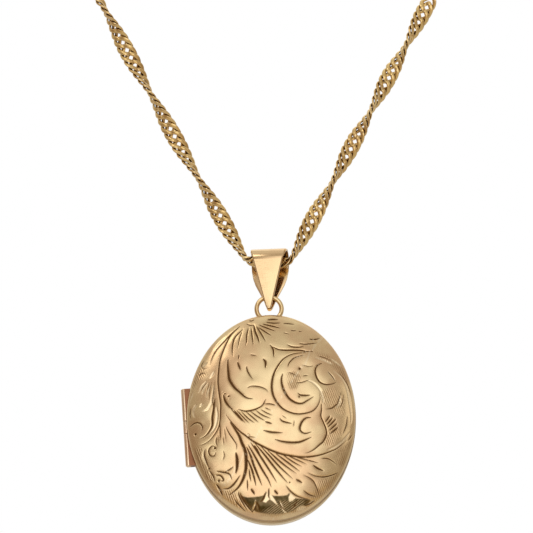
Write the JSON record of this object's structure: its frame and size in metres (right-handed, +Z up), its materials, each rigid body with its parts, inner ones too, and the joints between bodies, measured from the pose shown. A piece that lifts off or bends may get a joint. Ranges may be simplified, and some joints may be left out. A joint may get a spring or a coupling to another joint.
{
  "type": "oval photo locket on a chain",
  "caption": "Oval domed locket engraved with scrolling leaves, side hinged, with ring, tapered bail, inner photo frames and a length of twisted curb chain with its clasp ends.",
  "frame": {"origin": "middle of the chain where it passes through the bail's eye", "axes": "+Z up, the locket's front faces -Y, +X to the viewer's right"},
  "size_m": [0.0614, 0.0067, 0.0932],
  "materials": {
    "engraved_gold": "polished yellow gold, engraved",
    "plain_gold": "polished yellow gold",
    "bail_gold": "bright polished yellow gold",
    "chain_gold": "polished yellow gold, flattened links",
    "hinge_gold": "satin rose gold",
    "frame_gold": "satin gilt",
    "clear_window": "clear glossy sheet",
    "picture_card": "matt cream card"
  },
  "bodies": {
    "chain": {"neck_chain": "chain_gold", "bolt_ring_loop": "chain_gold", "bolt_ring_case": "chain_gold", "end_ring": "chain_gold"},
    "clasp_bolt": {"bolt_ring_bolt": "chain_gold"},
    "bail": {"bail": "bail_gold"},
    "back_half": {"suspension_ring": "bail_gold", "back_cover": "plain_gold", "back_rim": "plain_gold", "back_lip": "plain_gold", "back_hinge_leaf": "hinge_gold", "back_knuckle_top": "hinge_gold", "back_knuckle_bottom": "hinge_gold", "hinge_pin": "hinge_gold", "back_photo_frame": "frame_gold", "back_window": "clear_window", "back_card": "picture_card"},
    "front_half": {"front_cover": "engraved_gold", "front_rim": "plain_gold", "front_hinge_leaf": "hinge_gold", "front_knuckle": "hinge_gold", "front_photo_frame": "frame_gold", "front_window": "clear_window", "front_card": "picture_card"}
  },
  "joints": [
    {"name": "bail_swing", "type": "hinge", "parent": "chain", "child": "bail", "pos_m": [0, 0, 0], "axis": [1, 0, 0], "range_deg": [-60, 60]},
    {"name": "body_swing", "type": "hinge", "parent": "bail", "child": "back_half", "pos_m": [0, 0, -0.0057], "axis": [1, 0, 0], "range_deg": [-45, 45]},
    {"name": "front_open", "type": "hinge", "parent": "back_half", "child": "front_half", "pos_m": [-0.0125, -0.0005, -0.02655], "axis": [0.0684, 0, -0.9977], "range_deg": [0, 175]},
    {"name": "bolt_slide", "type": "hinge", "parent": "chain", "child": "clasp_bolt", "pos_m": [-0.02983, 0, 0.04929], "axis": [0, -1, 0], "range_deg": [0, 58], "stiffness_Nm_per_rad": 0.0002}
  ]
}
